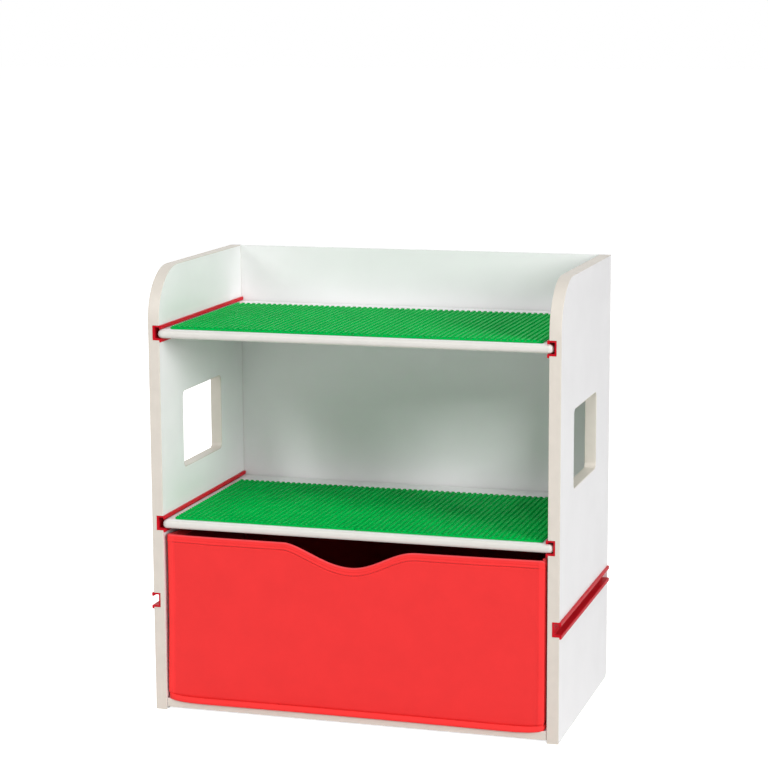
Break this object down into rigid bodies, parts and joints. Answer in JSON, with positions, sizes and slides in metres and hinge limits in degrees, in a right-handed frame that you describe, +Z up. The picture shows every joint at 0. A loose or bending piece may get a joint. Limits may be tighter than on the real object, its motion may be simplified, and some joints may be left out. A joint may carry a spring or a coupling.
{
  "type": "building block storage shelf",
  "caption": "Open-fronted children's storage shelf with studded pull-out building boards, side windows and a red fabric box with a scooped front.",
  "frame": {"origin": "on the floor, at the middle of the unit's width and depth", "axes": "+Z up, -Y towards the open front, +X to the right seen from the front"},
  "size_m": [0.5716, 0.3204, 0.61],
  "materials": {
    "white_laminate": "white melamine on board with cream edge banding, satin",
    "white_hardboard": "thin board lacquered white, satin",
    "red_plastic": "extruded, satin",
    "green_plastic": "moulded, glossy studs",
    "red_fabric": "non-woven, embossed, with sewn hems",
    "grey_board": "bare pressed board",
    "beech": "bare, chamfered ends",
    "nail_steel": "zinc plated"
  },
  "bodies": {
    "carcass": {"side_panel_left": "white_laminate", "side_panel_right": "white_laminate", "top_rail_left": "red_plastic", "top_rail_right": "red_plastic", "middle_rail_left": "red_plastic", "middle_rail_right": "red_plastic", "outer_rail_left": "red_plastic", "outer_rail_right": "red_plastic", "bottom_board": "white_laminate", "back_panel": "white_hardboard", "bottom_dowel_left_1": "beech", "bottom_dowel_left_2": "beech", "bottom_dowel_left_3": "beech", "bottom_dowel_right_1": "beech", "bottom_dowel_right_2": "beech", "bottom_dowel_right_3": "beech", "back_nail_left_1": "nail_steel", "back_nail_left_2": "nail_steel", "back_nail_left_3": "nail_steel", "back_nail_left_4": "nail_steel", "back_nail_left_5": "nail_steel", "back_nail_right_1": "nail_steel", "back_nail_right_2": "nail_steel", "back_nail_right_3": "nail_steel", "back_nail_right_4": "nail_steel", "back_nail_right_5": "nail_steel", "back_nail_bottom_1": "nail_steel", "back_nail_bottom_2": "nail_steel", "back_nail_bottom_3": "nail_steel", "back_nail_bottom_4": "nail_steel"},
    "top_building_board": {"top_board": "white_laminate", "top_baseplate_left": "green_plastic", "top_baseplate_right": "green_plastic"},
    "middle_building_board": {"middle_board": "white_laminate", "middle_baseplate_left": "green_plastic", "middle_baseplate_right": "green_plastic"},
    "fabric_box": {"box_front_wall": "red_fabric", "box_rear_wall": "red_fabric", "box_left_wall": "red_fabric", "box_right_wall": "red_fabric", "box_floor": "red_fabric", "box_base_board": "grey_board"}
  },
  "joints": [
    {"name": "top_board_slide", "type": "slide", "parent": "carcass", "child": "top_building_board", "axis": [0, -1, 0], "range_m": [0, 0.3]},
    {"name": "middle_board_slide", "type": "slide", "parent": "carcass", "child": "middle_building_board", "axis": [0, -1, 0], "range_m": [0, 0.3]},
    {"name": "fabric_box_slide", "type": "slide", "parent": "carcass", "child": "fabric_box", "axis": [0, -1, 0], "range_m": [0, 0.29]}
  ]
}
